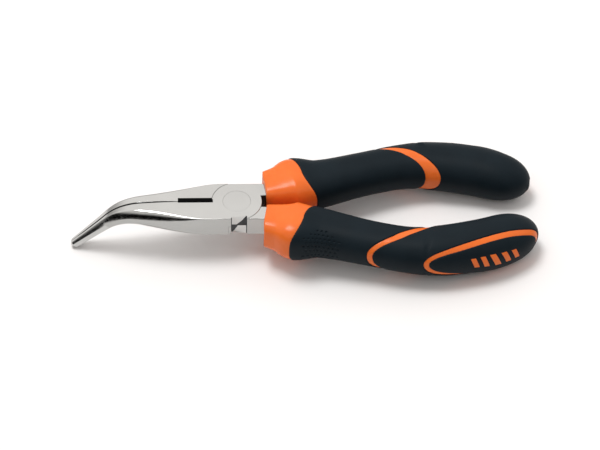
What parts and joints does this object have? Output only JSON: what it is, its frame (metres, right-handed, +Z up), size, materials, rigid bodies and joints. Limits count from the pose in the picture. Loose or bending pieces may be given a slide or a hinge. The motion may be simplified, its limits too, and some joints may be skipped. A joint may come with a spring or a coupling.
{
  "type": "bent needle nose pliers",
  "caption": "Slim gripping pliers with a bent nose, wire cutter, riveted lap joint and thick curved grips in a soft and a hard material, lying closed.",
  "frame": {"origin": "on the table the tool lies on, under the middle of its bounding box", "axes": "+X from the bent tips towards the butts of the handles, +Z up from the table, +Y across the tool towards the handle that belongs to the upper half. The tool rests on its tips and both grips, so its pivot leans a few degrees from +Z towards +X"},
  "size_m": [0.1602, 0.0566, 0.0201],
  "materials": {
    "plated_steel": "polished nickel-chrome plate, ground flat on the head's faces",
    "rivet_steel": "ground flush with the head",
    "grip_core": "smooth moulded orange plastic",
    "grip_soft": "satin blue-black elastomer"
  },
  "bodies": {
    "lower": {"lower_half": "plated_steel", "pivot_rivet": "rivet_steel", "near_grip_core": "grip_core", "near_front_sleeve": "grip_soft", "near_rear_sleeve": "grip_soft", "near_palm_inlay": "grip_soft"},
    "upper": {"upper_half": "plated_steel", "far_grip_core": "grip_core", "far_front_sleeve": "grip_soft", "far_rear_sleeve": "grip_soft", "far_palm_inlay": "grip_soft"}
  },
  "joints": [
    {"name": "jaw_pivot", "type": "hinge", "parent": "lower", "child": "upper", "pos_m": [-0.02173, 0, 0.01398], "axis": [0.0713, 0, 0.9975], "range_deg": [0, 36]}
  ]
}
